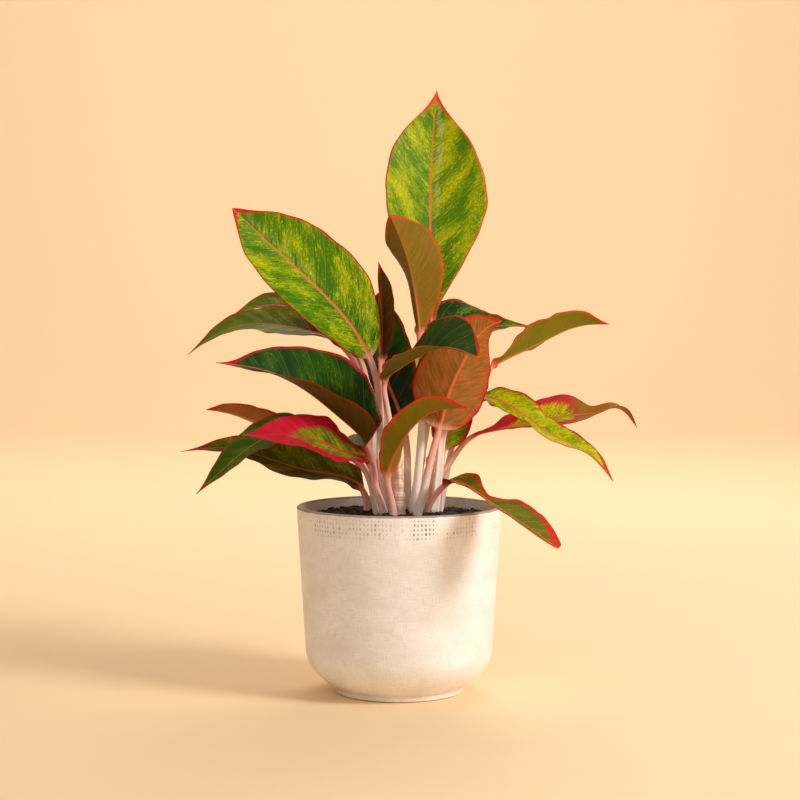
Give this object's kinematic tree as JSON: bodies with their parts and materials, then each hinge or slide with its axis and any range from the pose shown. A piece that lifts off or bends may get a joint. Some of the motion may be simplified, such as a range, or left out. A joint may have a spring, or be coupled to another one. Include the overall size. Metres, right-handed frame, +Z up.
{
  "type": "potted chinese evergreen",
  "caption": "Red-edged Chinese evergreen: mottled leaves on pink stalks round short canes, in soil in a tapered round cream stoneware cachepot.",
  "frame": {"origin": "centre of the pot's foot, on the surface it stands on", "axes": "+Z up; +X to the right of the show side; +Y away from the show side"},
  "size_m": [0.3165, 0.2257, 0.411],
  "materials": {
    "pot_glaze": "satin",
    "potting_soil": "matte",
    "cane_skin": "satin",
    "leaf_green": "satin",
    "leaf_red": "satin"
  },
  "bodies": {
    "root": {"pot": "pot_glaze", "potting_soil": "potting_soil", "cane_left": "cane_skin", "cane_middle": "cane_skin", "cane_right": "cane_skin", "leaf_top": "leaf_green", "leaf_young_front": "leaf_green", "leaf_upper_left": "leaf_green", "leaf_spear": "leaf_green", "leaf_back_centre": "leaf_green", "leaf_centre": "leaf_green", "leaf_right_upright": "leaf_green", "leaf_right_behind": "leaf_green", "leaf_front": "leaf_green", "leaf_small_right": "leaf_green", "leaf_right_high": "leaf_green", "leaf_right_middle": "leaf_green", "leaf_right_red": "leaf_red", "leaf_over_rim": "leaf_green", "leaf_left_middle": "leaf_green", "leaf_left_red": "leaf_red", "leaf_left_behind_red": "leaf_green", "leaf_left_low": "leaf_green", "leaf_left_small": "leaf_green", "leaf_left_high_back": "leaf_green", "leaf_left_high": "leaf_green", "leaf_back_right": "leaf_green", "leaf_back_left": "leaf_green", "leaf_back_low": "leaf_green"}
  },
  "joints": []
}
